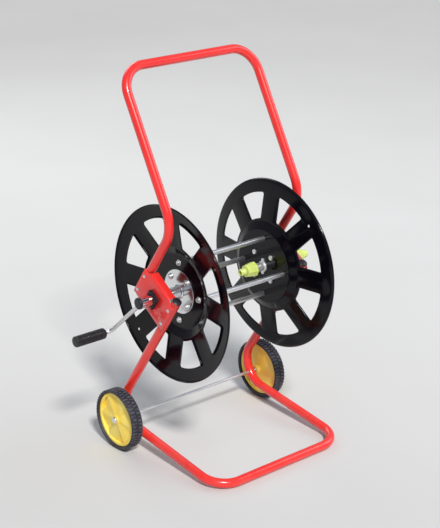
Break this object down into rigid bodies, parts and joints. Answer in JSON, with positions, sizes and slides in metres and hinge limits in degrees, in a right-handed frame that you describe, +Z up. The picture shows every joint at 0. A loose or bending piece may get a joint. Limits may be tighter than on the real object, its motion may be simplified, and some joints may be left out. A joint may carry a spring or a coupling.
{
  "type": "garden hose reel cart",
  "caption": "Bent-tube garden hose reel cart with a cranked open drum between windowed flanges, small wheels and a foot loop.",
  "frame": {"origin": "middle of the whole cart's footprint on the ground", "axes": "+Z up, +X towards the water inlet side (the crank is on -X), -Y towards the foot loop at the front"},
  "size_m": [0.6086, 0.436, 0.931],
  "materials": {
    "red_enamel": "glossy red stove enamel",
    "black_enamel": "high gloss black enamel",
    "black_plastic": "satin moulded",
    "chrome": "bright plated",
    "zinc": "bright zinc plated",
    "yellow_plastic": "moulded, slightly satin",
    "tyre_rubber": "moulded rubber",
    "grip_rubber": "ribbed rubber",
    "lime_plastic": "translucent moulded"
  },
  "bodies": {
    "frame": {"handle_frame": "red_enamel", "side_tube_left": "red_enamel", "side_tube_right": "red_enamel", "foot_loop": "red_enamel", "foot_sleeve_left": "zinc", "foot_sleeve_right": "zinc", "bracket_left": "red_enamel", "bracket_right": "red_enamel", "side_plug_left": "black_plastic", "side_plug_right": "black_plastic", "handle_plug_left": "black_plastic", "handle_plug_right": "black_plastic", "rivet_handle_left_1": "zinc", "rivet_handle_left_2": "zinc", "rivet_handle_right_1": "zinc", "rivet_handle_right_2": "zinc", "rivet_side_left_1": "zinc", "rivet_side_left_2": "zinc", "rivet_side_right_1": "zinc", "rivet_side_right_2": "zinc", "bush_left": "black_plastic", "bush_right": "black_plastic", "wheel_axle": "zinc", "push_nut_left": "zinc", "push_nut_right": "zinc"},
    "reel": {"reel_flange_left": "black_enamel", "reel_flange_right": "black_enamel", "drum_bar_1": "zinc", "drum_bar_2": "zinc", "drum_bar_3": "zinc", "drum_bar_4": "zinc", "bar_bolt_left_1": "zinc", "bar_bolt_left_2": "zinc", "bar_bolt_left_3": "zinc", "bar_bolt_left_4": "zinc", "bar_bolt_right_1": "zinc", "bar_bolt_right_2": "zinc", "bar_bolt_right_3": "zinc", "bar_bolt_right_4": "zinc", "disc_bolt_left_1": "zinc", "disc_bolt_left_2": "zinc", "disc_bolt_left_3": "zinc", "disc_bolt_left_4": "zinc", "disc_bolt_right_1": "zinc", "disc_bolt_right_2": "zinc", "disc_bolt_right_3": "zinc", "disc_bolt_right_4": "zinc", "crank_shaft": "chrome", "water_shaft": "chrome", "crank_end_cap": "black_plastic", "crank_rod": "zinc", "outlet_barrel": "zinc", "outlet_nut": "lime_plastic", "outlet_nipple": "lime_plastic"},
    "grip": {"crank_grip": "grip_rubber"},
    "left_wheel": {"wheel_hub_left": "yellow_plastic", "tyre_left": "tyre_rubber"},
    "right_wheel": {"wheel_hub_right": "yellow_plastic", "tyre_right": "tyre_rubber"},
    "inlet": {"inlet_connector": "lime_plastic"}
  },
  "joints": [
    {"name": "reel_spin", "type": "hinge", "parent": "frame", "child": "reel", "pos_m": [0.036, 0.00696, 0.4123], "axis": [1, 0, 0], "continuous": true},
    {"name": "grip_spin", "type": "hinge", "parent": "reel", "child": "grip", "pos_m": [-0.2605, 0.13223, 0.30186], "axis": [1, 0, 0], "continuous": true},
    {"name": "left_wheel_spin", "type": "hinge", "parent": "frame", "child": "left_wheel", "pos_m": [-0.1915, 0.12156, 0.075], "axis": [1, 0, 0], "continuous": true},
    {"name": "right_wheel_spin", "type": "hinge", "parent": "frame", "child": "right_wheel", "pos_m": [0.2635, 0.12156, 0.075], "axis": [1, 0, 0], "continuous": true},
    {"name": "inlet_swivel", "type": "hinge", "parent": "frame", "child": "inlet", "pos_m": [0.286, 0.00696, 0.4123], "axis": [1, 0, 0], "continuous": true}
  ]
}
